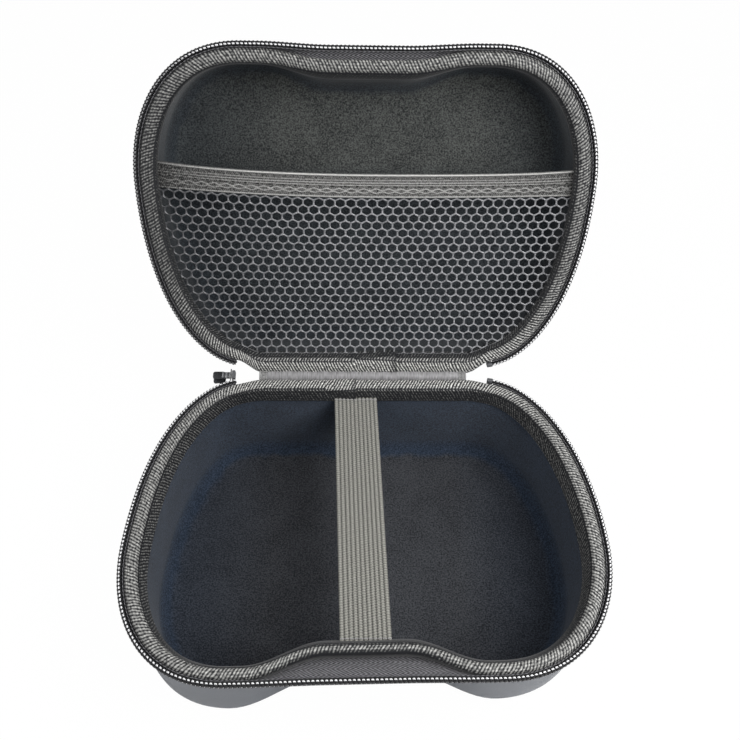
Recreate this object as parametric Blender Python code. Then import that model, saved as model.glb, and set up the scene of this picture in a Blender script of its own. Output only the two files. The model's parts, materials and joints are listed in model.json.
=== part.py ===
"""Carrying case for a game controller: two moulded shells, hinged at the back
and closed by a zip, shown open. Metres, +Z up, front at -Y, hinge at +Y.
Origin: centre of the flat underside of the base."""
import bpy
import bmesh
from math import cos, pi, radians, sin, tan
from mathutils import Matrix, Vector
from mathutils.geometry import interpolate_bezier

MM = 0.001

# Plan of the zip line, which is the widest outline of both halves
ZIP_HALF_WIDTH = 92.4 * MM
ZIP_FRONT = 66.4 * MM
ZIP_BACK = 66.8 * MM
WIDEST_AT = -14.0 * MM
FRONT_STRAIGHT = 48.0 * MM
BACK_STRAIGHT = 52.0 * MM
FRONT_CORNER_PULL = 30.5 * MM
SIDE_PULL_FRONT = 26.0 * MM
SIDE_PULL_BACK = 54.0 * MM
BACK_CORNER_PULL = 18.5 * MM
PLAN_STATIONS = 54

# Heights: the halves meet in one plane, and every depth is taken from it
BASE_DEPTH = 50.0 * MM
LID_DEPTH = 29.0 * MM
MATE_GAP = 0.2 * MM
CLEARANCE = 0.3 * MM

# Moulded shells: the wall is thin at the rim and full where its slope ends
SHELL_INSET = 3.4 * MM
RIM_WALL = 3.0 * MM
RIM_DROP = 1.3 * MM
SLOPE_FOOT = 8.5 * MM
BASE_WALL = 4.4 * MM
BASE_FLOOR = 5.0 * MM
LID_WALL = 4.0 * MM
LID_FLOOR = 3.0 * MM
DRAFT = radians(3.0)
BASE_CORNER_RADIUS = 12.0 * MM
BASE_CAVITY_RADIUS = 9.5 * MM
LID_CORNER_RADIUS = 13.0 * MM
LID_CAVITY_RADIUS = 9.5 * MM
CORNER_STEPS = 3
LINING = 0.8 * MM

# Bay between the two grip lobes, at the front of each half
BAY_FLAT = 14.0 * MM
BAY_REACH = 42.5 * MM
BASE_BAY_AT_ZIP = 0.4 * MM
BASE_BAY_AT_RIM = 6.4 * MM
BASE_BAY_AT_FLOOR = 11.0 * MM
LID_BAY_AT_ZIP = 1.8 * MM
LID_BAY_AT_RIM = 3.9 * MM
LID_BAY_AT_FLOOR = 7.8 * MM

# Between the zip's ends each half reaches back towards the fold
REACH_RUN = 11.0 * MM
BASE_REACH = 1.7 * MM
LID_REACH = 3.7 * MM

# Binding tape that wraps each rim
BINDING = 0.7 * MM
BINDING_LEG = 5.2 * MM
LIP_REACH = 0.7 * MM
LIP_DROP = 1.0 * MM
CROWN_LEAN = 0.2 * MM

# Zip: tape, coil and stops
ZIP_END = 57.0 * MM
ZIP_END_CLEAR = 1.0 * MM
COIL_WIDTH = 1.7 * MM
COIL_HEIGHT = 3.0 * MM
TOOTH_PITCH = 5.1 * MM
TOOTH_DEPTH = 0.9 * MM
TAPE = 0.6 * MM
TAPE_UPSTAND = 0.3 * MM
TAPE_UPSTAND_DROP = 1.2 * MM
TAPE_STATIONS = 52
STOP_LENGTH = 2.6 * MM

# Hinge: a strip of satin tape, whose fold is the lid's axis
HINGE_BACK = 2.35 * MM
LID_OPEN = radians(115.0)
HINGE_LEFT = -46.5 * MM
HINGE_RIGHT = 44.8 * MM
HINGE_TAPE = 0.6 * MM
HINGE_STEPS = 8

# Pocket in the lid
ELASTIC_MOUTH = -18.0 * MM
ELASTIC_WIDTH = 9.0 * MM
ELASTIC_BOW = 2.8 * MM
ELASTIC_THICKNESS = 1.2 * MM
ELASTIC_DEPTH = 4.6 * MM
ELASTIC_STEPS = 12
NET_ROWS = 6
NET_COLUMNS = 11
NET_THREAD = 1.3 * MM
NET_THICKNESS = 0.6 * MM
NET_DEPTH = 5.4 * MM
NET_BELLY = 1.6 * MM
NET_ZIGZAG = 0.2
NET_CORNER_CUT = 9.0 * MM
NET_EDGE_STEP = 0.4 * MM

# Elastic strap across the base
STRAP_WIDTH = 18.6 * MM
STRAP_THICKNESS = 1.3 * MM
STRAP_DEPTH = 5.6 * MM
STRAP_RIB = 0.35 * MM
STRAP_RIBS = 11
STRAP_X_BACK = -4.1 * MM
STRAP_X_FRONT = -1.0 * MM

# Slider at the closed end of the zip, its face leaning back from straight down
SLIDER_X = -64.5 * MM
SLIDER_TILT = radians(12.0)
SLIDER_LENGTH = 8.4 * MM
SLIDER_NOSE_WIDTH = 8.4 * MM
SLIDER_TAIL_WIDTH = 7.0 * MM
SLIDER_INNER_WIDTH = 5.6 * MM
SLIDER_PLATE = 1.0 * MM
SLIDER_THROAT = 2.8 * MM
SLIDER_INNER_FACE = 0.4 * MM
SLIDER_POST = 2.0 * MM
SLIDER_POST_BACK = 0.4 * MM
SLIDER_FLANGE = 1.5 * MM
SLIDER_FLANGE_WIDTH = 0.8 * MM
SLIDER_FLANGE_SHARE = 0.34
SLIDER_ROUNDING = 1.5 * MM
JOIN_DEPTH = 0.2 * MM
CLOSED_COIL_WIDTH = 4.6 * MM
CLOSED_COIL_OVERHANG = 1.2 * MM
CLOSED_TAPE_WIDTH = 11.0 * MM
BOTTOM_STOP_LENGTH = 1.5 * MM
BOTTOM_STOP_WIDTH = 4.0 * MM
BAIL_LENGTH = 6.4 * MM
BAIL_WIDTH = 1.3 * MM
BAIL_BAR = 0.8 * MM
BAIL_BEND = 0.7
PULL_PIN_RADIUS = 0.7 * MM
PULL_PIN_SIDES = 10
PULL_ARM = 1.1 * MM
PULL_ARM_GAP = 0.4 * MM
PULL_ARM_LENGTH = 5.6 * MM
PULL_TAB_LENGTH = 20.0 * MM
PULL_TAB_WIDTH = 7.6 * MM
PULL_TAB_TAPER = 1.6 * MM
PULL_TAB_ROUNDING = 2.2 * MM
PULL_THICKNESS = 1.4 * MM

# Worked-out places
REACH_END = ZIP_END - ZIP_END_CLEAR
REACH_FLAT = REACH_END - REACH_RUN
MATE_Z = BASE_DEPTH
HINGE_Y = ZIP_BACK + HINGE_BACK
HINGE = Vector((0.0, HINGE_Y, MATE_Z))
COIL_TOP = MATE_GAP
COIL_BOTTOM = MATE_GAP + COIL_HEIGHT
BINDING_IN = SHELL_INSET - LIP_REACH
TAPE_TOP = RIM_DROP + LIP_DROP + CLEARANCE
TAPE_OUT = COIL_WIDTH + CLEARANCE


def clear_scene():
    for obj in list(bpy.data.objects):
        bpy.data.objects.remove(obj, do_unlink=True)


def material(name, colour, roughness, metallic=0.0):
    made = bpy.data.materials.new(name)
    made.use_nodes = True
    shader = made.node_tree.nodes["Principled BSDF"]
    shader.inputs["Base Color"].default_value = (*colour, 1.0)
    shader.inputs["Roughness"].default_value = roughness
    shader.inputs["Metallic"].default_value = metallic
    made.diffuse_color = (*colour, 1.0)
    return made


def add_object(name, mesh_or_bm, finish, parent=None):
    """Adds a mesh as one named object; a child's mesh is kept about its parent's place."""
    if isinstance(mesh_or_bm, bmesh.types.BMesh):
        mesh = bpy.data.meshes.new(name)
        bmesh.ops.recalc_face_normals(mesh_or_bm, faces=mesh_or_bm.faces)
        mesh_or_bm.to_mesh(mesh)
        mesh_or_bm.free()
    else:
        mesh = mesh_or_bm
    obj = bpy.data.objects.new(name, mesh)
    bpy.context.collection.objects.link(obj)
    obj.data.materials.append(finish)
    if parent is not None:
        obj.data.transform(Matrix.Translation(-parent.location))
        obj.parent = parent
    return obj


def add_pivot(name, place, angle=0.0):
    pivot = bpy.data.objects.new(name, None)
    bpy.context.collection.objects.link(pivot)
    pivot.empty_display_size = 0.02
    pivot.location = place
    pivot.rotation_euler = (angle, 0.0, 0.0)
    return pivot


# Plan of the case

def half_plan(steps=40):
    """Right-hand half of the zip line, from the middle of the back to the middle of the front."""
    side = Vector((ZIP_HALF_WIDTH, WIDEST_AT, 0.0))
    back = Vector((BACK_STRAIGHT, ZIP_BACK, 0.0))
    front = Vector((FRONT_STRAIGHT, -ZIP_FRONT, 0.0))
    rear = interpolate_bezier(back, back + Vector((BACK_CORNER_PULL, 0, 0)),
                              side + Vector((0, SIDE_PULL_BACK, 0)), side, steps)
    fore = interpolate_bezier(side, side - Vector((0, SIDE_PULL_FRONT, 0)),
                              front + Vector((FRONT_CORNER_PULL, 0, 0)), front, steps)
    return [Vector((0, ZIP_BACK, 0)), *rear, *fore[1:], Vector((0, -ZIP_FRONT, 0))]


def whole_plan():
    """The zip line as a closed run, from the back's middle over the left side and the front."""
    right = half_plan()
    left = [Vector((-p.x, p.y, 0)) for p in right]
    return left + right[-2::-1]


class Track:
    """Even places along the zip line, each with its outward direction."""

    def __init__(self):
        self.points = whole_plan()
        self.lengths = [0.0]
        for a, b in zip(self.points, self.points[1:]):
            self.lengths.append(self.lengths[-1] + (b - a).length)
        self.total = self.lengths[-1]

    def at(self, distance):
        distance = distance % self.total
        for i in range(1, len(self.lengths)):
            if distance <= self.lengths[i]:
                break
        a, b = self.points[i - 1], self.points[i]
        share = (distance - self.lengths[i - 1]) / (self.lengths[i] - self.lengths[i - 1])
        return a.lerp(b, share)

    def station(self, distance):
        reach = 1.0 * MM
        along = (self.at(distance + reach) - self.at(distance - reach)).normalized()
        return self.at(distance), Vector((-along.y, along.x, 0.0)) * -1.0

    def around(self, count):
        return [self.station(self.total * i / count) for i in range(count)]

    def between(self, start, end, count):
        return [self.station(start + (end - start) * i / (count - 1)) for i in range(count)]


def fade(distance, full, end):
    """1 up to a first distance from the middle, falling smoothly to 0 at a second one."""
    share = (abs(distance) - full) / (end - full)
    return 0.5 * (1.0 + cos(pi * max(0.0, min(1.0, share))))


def place(station, inset, z, bay, reach=0.0):
    """A point at an inset from the zip line, pushed in by the bay or out by the reach."""
    point, outward = station
    spot = point - outward * inset
    if point.y < 0.0:
        spot.y += bay * fade(spot.x, BAY_FLAT, BAY_REACH)
    else:
        spot.y += reach * fade(spot.x, REACH_FLAT, REACH_END)
    spot.z = z
    return spot


# Meshes made of rings

def bridge_rings(bm, first, second):
    """Joins two closed rings, each cell split the same way, so that nested walls stay parallel."""
    shallow, deep = first, second
    if abs(first[0].co.z - MATE_Z) > abs(second[0].co.z - MATE_Z):
        shallow, deep = second, first
    count = len(first)
    for i in range(count):
        j = (i + 1) % count
        bm.faces.new((shallow[i], shallow[j], deep[j]))
        bm.faces.new((shallow[i], deep[j], deep[i]))


def vessel(rings):
    """A bowl of its own thickness: rings from the outer floor, over the rim, to the inner floor."""
    bm = bmesh.new()
    loops = [[bm.verts.new(p) for p in ring] for ring in rings]
    for a, b in zip(loops, loops[1:]):
        bridge_rings(bm, a, b)
    bm.faces.new(loops[0])
    bm.faces.new(loops[-1])
    return bm


def band(sections):
    """A closed hoop: one closed section at each station."""
    bm = bmesh.new()
    loops = [[bm.verts.new(p) for p in section] for section in sections]
    for a, b in zip(loops, loops[1:] + loops[:1]):
        bridge_rings(bm, a, b)
    return bm


def run(sections):
    """An open length with a flat end on each side."""
    bm = bmesh.new()
    loops = [[bm.verts.new(p) for p in section] for section in sections]
    for a, b in zip(loops, loops[1:]):
        bridge_rings(bm, a, b)
    bm.faces.new(loops[0])
    bm.faces.new(loops[-1])
    return bm


class Half:
    """Base or lid: the same construction on either side of the mating plane."""

    def __init__(self, name, side, depth, wall, floor, corner, cavity, bays, reach):
        self.name = name
        self.side = side
        self.depth = depth
        self.wall = wall
        self.floor = floor
        self.corner = corner
        self.cavity = cavity
        self.bay_zip, self.bay_rim, self.bay_floor = bays
        self.reach = reach
        self.track = Track()

    def z(self, depth):
        return MATE_Z + self.side * depth

    def bay(self, depth):
        share = max(0.0, min(1.0, (depth - RIM_DROP) / (self.depth - RIM_DROP)))
        return self.bay_rim + (self.bay_floor - self.bay_rim) * share

    def spot(self, station, inset, depth):
        return place(station, inset, self.z(depth), self.bay(depth), self.reach)

    def zip_spot(self, station, inset, depth):
        return place(station, inset, self.z(depth), self.bay_zip)

    def ring(self, inset, depth):
        return [self.spot(s, inset, depth) for s in self.track.around(PLAN_STATIONS)]

    def bowl_side(self, inset, top, floor, radius):
        """(inset, depth) down a drafted wall and round its foot."""
        turn = floor - radius
        foot = inset + (turn - top) * tan(DRAFT)
        steps = [(inset, top)]
        for i in range(CORNER_STEPS + 1):
            angle = 0.5 * pi * i / CORNER_STEPS
            steps.append((foot + radius * (1.0 - cos(angle)), turn + radius * sin(angle)))
        return steps

    def slope(self, depth):
        """Inset of the shell's inner face at a depth within the slope under the rim."""
        share = (depth - RIM_DROP) / (SLOPE_FOOT - RIM_DROP)
        return SHELL_INSET + RIM_WALL + (self.wall - RIM_WALL) * share

    def inner_face(self, offset, top=RIM_DROP):
        """The cavity's side at an offset inwards from the shell's own inner face."""
        inset = SHELL_INSET + self.wall + offset
        floor = self.depth - self.floor - offset
        side = self.bowl_side(inset, SLOPE_FOOT, floor, self.cavity - offset)
        return [(self.slope(top) + offset, top), *side]

    def leg_foot(self):
        return RIM_DROP + BINDING_LEG

    def inside_edge(self):
        """Inset of whatever lies inside the binding's leg, clear of it."""
        return self.slope(self.leg_foot()) + CLEARANCE + BINDING + CLEARANCE

    def half_width(self, y, inset):
        """Half the width of the opening at y, along the binding's facets."""
        ring = self.ring(inset, RIM_DROP)
        widths = []
        for a, b in zip(ring, ring[1:] + ring[:1]):
            if (a.y - y) * (b.y - y) <= 0.0 and a.y != b.y:
                widths.append(abs(a.x + (b.x - a.x) * (y - a.y) / (b.y - a.y)))
        return max(widths)

    def shell(self):
        outer = self.bowl_side(SHELL_INSET, RIM_DROP, self.depth, self.corner)
        steps = outer[::-1] + self.inner_face(0.0)
        return vessel([self.ring(inset, depth) for inset, depth in steps])

    def lining(self):
        top = self.leg_foot() + CLEARANCE
        steps = self.inner_face(CLEARANCE, top)[::-1] + self.inner_face(CLEARANCE + LINING, top)
        return vessel([self.ring(inset, depth) for inset, depth in steps])

    def binding(self):
        under = RIM_DROP - CLEARANCE
        foot = self.leg_foot()
        steps = [
            (BINDING_IN, RIM_DROP + LIP_DROP),
            (BINDING_IN + CROWN_LEAN, MATE_GAP),
            (self.slope(MATE_GAP) + CLEARANCE + BINDING, MATE_GAP),
            (self.slope(foot) + CLEARANCE + BINDING, foot),
            (self.slope(foot) + CLEARANCE, foot),
            (self.slope(under) + CLEARANCE, under),
            (SHELL_INSET - CLEARANCE, under),
        ]
        sections = []
        for station in self.track.around(PLAN_STATIONS):
            sections.append([self.spot(station, inset, depth) for inset, depth in steps])
        return band(sections)

    def zip_stations(self, count):
        return self.track.between(ZIP_END, self.track.total - ZIP_END, count)

    def zip_tape(self):
        low = TAPE_TOP + TAPE
        stand = TAPE_OUT + TAPE_UPSTAND
        inner = SHELL_INSET - CLEARANCE
        sections = []
        for station in self.zip_stations(TAPE_STATIONS):
            section = [self.zip_spot(station, TAPE_OUT, TAPE_UPSTAND_DROP),
                       self.zip_spot(station, stand, TAPE_UPSTAND_DROP),
                       self.zip_spot(station, stand, TAPE_TOP),
                       place(station, inner, self.z(TAPE_TOP), self.bay_rim),
                       place(station, inner, self.z(low), self.bay_rim),
                       self.zip_spot(station, TAPE_OUT, low)]
            sections.append(section)
        return run(sections)

    def zip_teeth(self):
        length = self.track.total - 2.0 * ZIP_END
        teeth = round(length / TOOTH_PITCH)
        middle = 0.5 * (COIL_TOP + COIL_BOTTOM)
        sections = []
        for i, station in enumerate(self.zip_stations(2 * teeth + 1)):
            tip = TOOTH_DEPTH if i % 2 == 0 else 0.0
            sections.append([self.zip_spot(station, tip, middle),
                             self.zip_spot(station, COIL_WIDTH, COIL_TOP),
                             self.zip_spot(station, COIL_WIDTH, COIL_BOTTOM)])
        return run(sections)

    def top_stop(self):
        start = self.track.total - ZIP_END + CLEARANCE
        sections = []
        for station in self.track.between(start, start + STOP_LENGTH, 2):
            sections.append([self.zip_spot(station, inset, depth)
                             for inset, depth in ((0.0, COIL_TOP), (COIL_WIDTH, COIL_TOP),
                                                  (COIL_WIDTH, COIL_BOTTOM), (0.0, COIL_BOTTOM))])
        return run(sections)

    def build(self, finishes, parent=None):
        for piece, slot, shape in (("shell", "skin", self.shell), ("lining", "fleece", self.lining),
                                   ("binding", "binding", self.binding),
                                   ("zip_tape", "zip_tape", self.zip_tape),
                                   ("zip_teeth", "coil", self.zip_teeth),
                                   ("top_stop", "stop", self.top_stop)):
            add_object(f"{self.name}_{piece}", shape(), finishes[slot], parent)


# Pieces that only one half has

def elastic_line(x, half):
    """How far the pocket's mouth bows towards the hinge at x."""
    return ELASTIC_MOUTH - ELASTIC_BOW * (x / half) ** 2


def pocket_elastic(lid):
    inset = lid.inside_edge()
    half = lid.half_width(ELASTIC_MOUTH - ELASTIC_BOW, inset)
    half_low = lid.half_width(ELASTIC_MOUTH - ELASTIC_BOW + ELASTIC_WIDTH, inset)
    half = min(half, half_low)
    sections = []
    for i in range(ELASTIC_STEPS + 1):
        x = half * (2.0 * i / ELASTIC_STEPS - 1.0)
        y = elastic_line(x, half)
        sections.append([Vector((x, y, lid.z(ELASTIC_DEPTH))),
                         Vector((x, y + ELASTIC_WIDTH, lid.z(ELASTIC_DEPTH))),
                         Vector((x, y + ELASTIC_WIDTH, lid.z(ELASTIC_DEPTH + ELASTIC_THICKNESS))),
                         Vector((x, y, lid.z(ELASTIC_DEPTH + ELASTIC_THICKNESS)))])
    return run(sections)


def pocket_net(lid):
    """Rows of six-sided meshes, from the elastic to the binding at the hinge."""
    inset = lid.inside_edge()
    reach = lid.half_width(ELASTIC_MOUTH - ELASTIC_BOW + ELASTIC_WIDTH, inset)
    foot = ZIP_BACK - inset + lid.reach
    knots_across = 2 * NET_COLUMNS
    bm = bmesh.new()
    knots = []
    for row in range(NET_ROWS + 1):
        line = []
        for k in range(knots_across + 1):
            share = 2.0 * k / knots_across - 1.0
            wave = NET_ZIGZAG if 0 < row < NET_ROWS else 0.0
            v = (row + wave * (1 if (k + row) % 2 == 0 else -1)) / NET_ROWS
            head = elastic_line(share * reach, reach) + ELASTIC_WIDTH + CLEARANCE
            low = foot - NET_CORNER_CUT * share ** 6
            y = head + (low - head) * v
            edge = lid.half_width(min(y, foot - NET_EDGE_STEP), inset) - CLEARANCE
            belly = sin(pi * v) * (1.0 - share * share)
            depth = NET_DEPTH + NET_BELLY * belly
            line.append(bm.verts.new((share * edge, y, lid.z(depth))))
        knots.append(line)
    for row in range(NET_ROWS):
        low, high = knots[row], knots[row + 1]
        start = row % 2
        edges = [0] * (start == 1) + list(range(start, knots_across + 1, 2))
        if edges[-1] != knots_across:
            edges.append(knots_across)
        for a, b in zip(edges, edges[1:]):
            bm.faces.new(low[a:b + 1] + high[a:b + 1][::-1])
    bmesh.ops.recalc_face_normals(bm, faces=bm.faces)
    meshes = list(bm.faces)
    bmesh.ops.inset_individual(bm, faces=meshes, thickness=0.5 * NET_THREAD, use_even_offset=True)
    bmesh.ops.delete(bm, geom=meshes, context="FACES_ONLY")
    return bm


def holding_strap(base):
    inset = base.inside_edge()
    front = -ZIP_FRONT + inset + base.bay(STRAP_DEPTH + STRAP_THICKNESS)
    back = ZIP_BACK - inset + base.reach
    sections = []
    for x_mid, y in ((STRAP_X_FRONT, front), (STRAP_X_BACK, back)):
        section = []
        left = x_mid - 0.5 * STRAP_WIDTH
        pitch = STRAP_WIDTH / (2 * STRAP_RIBS)
        for i in range(2 * STRAP_RIBS + 1):
            dip = STRAP_RIB if i % 2 == 0 else 0.0
            section.append(Vector((left + pitch * i, y, base.z(STRAP_DEPTH + dip))))
        for x in (left + STRAP_WIDTH, left):
            section.append(Vector((x, y, base.z(STRAP_DEPTH + STRAP_THICKNESS))))
        sections.append(section)
    return run(sections)


def opened(point):
    """Where a point of the closed lid lies when the lid stands open."""
    return HINGE + Matrix.Rotation(-LID_OPEN, 3, "X") @ (point - HINGE)


def hinge_tape(base, lid):
    """A strip from under the base's binding, round the fold, to under the lid's."""
    middle = TAPE_TOP + 0.5 * HINGE_TAPE
    root = ZIP_BACK - SHELL_INSET + CLEARANCE
    start = Vector((0, root + base.reach, base.z(middle)))
    leave = Vector((0, HINGE_Y - HINGE_TAPE, base.z(middle)))
    end = opened(Vector((0, root + lid.reach, lid.z(middle))))
    arrive = opened(Vector((0, HINGE_Y - HINGE_TAPE, lid.z(middle))))
    path = [start, *interpolate_bezier(leave, leave + Vector((0, HINGE_BACK, 0)),
                                       arrive + (arrive - end).normalized() * HINGE_BACK,
                                       arrive, HINGE_STEPS), end]
    sections = []
    for x in (HINGE_LEFT, HINGE_RIGHT):
        above, below = [], []
        for i, point in enumerate(path):
            before, after = path[max(i - 1, 0)], path[min(i + 1, len(path) - 1)]
            along = (after - before).normalized()
            across = Vector((0, -along.z, along.y)) * 0.5 * HINGE_TAPE
            above.append(point + across + Vector((x, 0, 0)))
            below.append(point - across + Vector((x, 0, 0)))
        sections.append(above + below[::-1])
    return run(sections)


# The slider hangs under the fold, in the wedge between the open halves

def slider_frame():
    """Turns a slider's own axes (X travel, Y across, Z out of its face) to look down."""
    turn = SLIDER_TILT - pi
    return Matrix.Translation((SLIDER_X, HINGE_Y, MATE_Z)) @ Matrix.Rotation(turn, 4, "X")


def plate(outline, low, high):
    """A flat plate of a given outline between two heights."""
    bm = bmesh.new()
    rings = [[bm.verts.new((x, y, z)) for x, y in outline] for z in (low, high)]
    bridge_rings(bm, rings[0], rings[1])
    bm.faces.new(rings[0])
    bm.faces.new(rings[1])
    return bm


def rounded(length, width_a, width_b, radius, steps=3):
    """Outline of a plate with round corners, wider at one end than at the other."""
    corners = ((0.5 * length, 0.5 * width_b, 0.0), (-0.5 * length, 0.5 * width_a, 0.5 * pi),
               (-0.5 * length, -0.5 * width_a, pi), (0.5 * length, -0.5 * width_b, 1.5 * pi))
    outline = []
    for x, y, start in corners:
        cx = x - radius if x > 0 else x + radius
        cy = y - radius if y > 0 else y + radius
        for i in range(steps + 1):
            angle = start + 0.5 * pi * i / steps
            outline.append((cx + radius * cos(angle), cy + radius * sin(angle)))
    return outline


def join(target, others):
    """Unites solids with the target and leaves the others as hidden tools."""
    for other in others:
        other.hide_render = True
        other.display_type = "WIRE"
        union = target.modifiers.new(other.name, "BOOLEAN")
        union.operation = "UNION"
        union.solver = "EXACT"
        union.object = other


def slider_levels():
    inner_top = SLIDER_INNER_FACE + SLIDER_PLATE
    outer_low = inner_top + SLIDER_THROAT
    return inner_top, outer_low, outer_low + SLIDER_PLATE


def post_end():
    """Where the post at the slider's nose ends, towards its tail."""
    return -0.5 * SLIDER_LENGTH + SLIDER_POST_BACK + SLIDER_POST


def zip_slider(finish, pivot):
    inner_top, outer_low, outer_top = slider_levels()
    body = add_object("zip_slider", plate(rounded(SLIDER_LENGTH, SLIDER_NOSE_WIDTH,
                                                  SLIDER_TAIL_WIDTH, SLIDER_ROUNDING),
                                          outer_low, outer_top), finish)
    inner = add_object("slider_inner_plate",
                       plate(rounded(SLIDER_LENGTH, SLIDER_INNER_WIDTH, SLIDER_INNER_WIDTH,
                                     SLIDER_ROUNDING),
                             SLIDER_INNER_FACE, inner_top), finish)
    nose = post_end() - 0.5 * SLIDER_POST
    post = add_object("slider_post",
                      plate([(nose - 0.5 * SLIDER_POST, 0.0), (nose, -0.5 * SLIDER_POST),
                             (nose + 0.5 * SLIDER_POST, 0.0), (nose, 0.5 * SLIDER_POST)],
                            inner_top - JOIN_DEPTH, outer_low + JOIN_DEPTH), finish)
    tools = [inner, post]
    half = SLIDER_FLANGE_SHARE * SLIDER_LENGTH
    outside = 0.5 * SLIDER_TAIL_WIDTH
    inside = outside - SLIDER_FLANGE_WIDTH
    for side, name in ((-1, "left"), (1, "right")):
        rail = [(-half, side * inside), (half, side * inside),
                (half, side * outside), (-half, side * outside)]
        tools.append(add_object(f"slider_flange_{name}",
                                plate(rail, outer_low - SLIDER_FLANGE, outer_low + JOIN_DEPTH),
                                finish))
    join(body, tools)
    for piece in [body, *tools]:
        piece.parent = pivot
    return body


def bail_arch():
    """The bridge over the slider's face, with its two feet on the plate."""
    outer_top = slider_levels()[2]
    low = outer_top + CLEARANCE
    crown = low + 2.0 * (PULL_PIN_RADIUS + CLEARANCE) + BAIL_BAR
    half = 0.5 * BAIL_LENGTH
    bend = BAIL_BEND * half
    corner = 0.5 * BAIL_BAR
    outside = [(-half, low), (-half, crown - corner), (-bend, crown), (bend, crown),
               (half, crown - corner), (half, low)]
    half_in, bend_in = half - BAIL_BAR, bend - corner
    crown_in = crown - BAIL_BAR
    corner_in = 0.5 * corner
    inside = [(half_in, low), (half_in, crown_in - corner_in), (bend_in, crown_in),
              (-bend_in, crown_in), (-half_in, crown_in - corner_in), (-half_in, low)]
    sections = []
    for y in (-0.5 * BAIL_WIDTH, 0.5 * BAIL_WIDTH):
        sections.append([Vector((x, y, z)) for x, z in outside + inside])
    return run(sections)


def pull_height():
    return slider_levels()[2] + CLEARANCE + CLEARANCE + PULL_PIN_RADIUS


def zip_pull(finish, pivot):
    """Pin through the bail, two arms and a tab, standing straight out of the slider's face."""
    inside = 0.5 * BAIL_WIDTH + PULL_ARM_GAP
    outside = inside + PULL_ARM
    arm = 0.5 * PULL_THICKNESS
    top = PULL_ARM_LENGTH
    arm_top = top + 2.0 * JOIN_DEPTH
    tab = add_object("zip_pull", plate([(-arm, -outside), (arm, -outside), (arm, -inside),
                                        (-arm, -inside)], -PULL_PIN_RADIUS, arm_top), finish)
    other = add_object("pull_arm", plate([(-arm, inside), (arm, inside), (arm, outside),
                                          (-arm, outside)], -PULL_PIN_RADIUS, arm_top), finish)
    bm = bmesh.new()
    bmesh.ops.create_cone(bm, cap_ends=True, segments=PULL_PIN_SIDES, radius1=PULL_PIN_RADIUS,
                          radius2=PULL_PIN_RADIUS, depth=2.0 * (inside + JOIN_DEPTH),
                          matrix=Matrix.Rotation(0.5 * pi, 4, "X"))
    pin = add_object("pull_pin", bm, finish)
    outline = rounded(PULL_TAB_LENGTH, PULL_TAB_WIDTH - PULL_TAB_TAPER, PULL_TAB_WIDTH,
                      PULL_TAB_ROUNDING)
    grip = plate(outline, -arm, arm)
    grip.transform(Matrix.Translation((0, 0, top + 0.5 * PULL_TAB_LENGTH))
                   @ Matrix.Rotation(-0.5 * pi, 4, "Y"))
    grip_piece = add_object("pull_grip", grip, finish)
    join(tab, [other, pin, grip_piece])
    for piece in (tab, other, pin, grip_piece):
        piece.parent = pivot
    return tab


def closed_end_sections(start, end, half, low, high):
    sections = []
    for x in (start, end):
        sections.append([Vector((x, -half, low)), Vector((x, half, low)),
                         Vector((x, half, high)), Vector((x, -half, high))])
    return sections


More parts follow.
